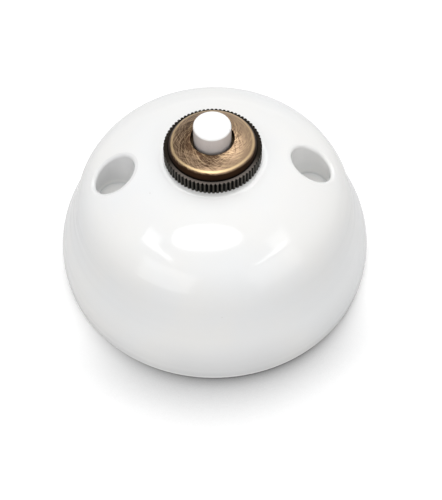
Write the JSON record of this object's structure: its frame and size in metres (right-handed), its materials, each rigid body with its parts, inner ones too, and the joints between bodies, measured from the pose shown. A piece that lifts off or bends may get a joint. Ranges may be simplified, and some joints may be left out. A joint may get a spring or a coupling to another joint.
{
  "type": "porcelain button switch",
  "caption": "Round domed porcelain light switch for surface fixing, with a knurled brass nut round a white push button and a push-push ratchet mechanism inside.",
  "frame": {"origin": "centre of the rim's footprint, in the plane of the wall", "axes": "+Z out of the wall along the button's axis, +X through one of the two fixing pockets"},
  "size_m": [0.0802, 0.0802, 0.0501],
  "materials": {
    "antique_brass": "brushed and patinated, knurled band darker",
    "bright_brass": "turned, bare",
    "button_white": "white, satin",
    "nylon": "natural, matt",
    "phenolic_black": "moulded, half gloss",
    "porcelain": "white glaze, glossy",
    "spring_steel": "bright spring wire",
    "vulcanised_fibre": "red-brown, matt",
    "zinc_steel": "zinc plated"
  },
  "bodies": {
    "housing": {"porcelain_dome": "porcelain", "dress_nut": "antique_brass", "threaded_neck": "bright_brass", "fibre_washer": "vulcanised_fibre", "lock_washer": "zinc_steel", "hex_nut": "bright_brass", "contact_strip_front": "bright_brass", "contact_strip_back": "bright_brass", "terminal_front": "bright_brass", "terminal_back": "bright_brass", "terminal_screws": "zinc_steel", "housing_base": "phenolic_black", "housing_cover": "phenolic_black", "housing_screws": "zinc_steel", "pivot_pin": "zinc_steel", "thrust_washer": "zinc_steel", "return_spring": "spring_steel"},
    "button": {"push_button": "button_white", "plunger": "nylon"},
    "rotor": {"ratchet_rotor": "nylon", "contact_star": "bright_brass"}
  },
  "joints": [
    {"name": "button_press", "type": "slide", "parent": "housing", "child": "button", "axis": [0, 0, -1], "range_m": [0, 0.0035], "stiffness_N_per_m": 500, "springref_m": -0.004, "deforming": ["return_spring"]},
    {"name": "rotor_turn", "type": "hinge", "parent": "housing", "child": "rotor", "pos_m": [0, 0, 0.016], "axis": [0, 0, 1], "range_deg": [0, 45]}
  ],
  "couplings": [
    {"joint": "rotor_turn", "follows": "button_press", "rad_per_m": 224.4}
  ]
}
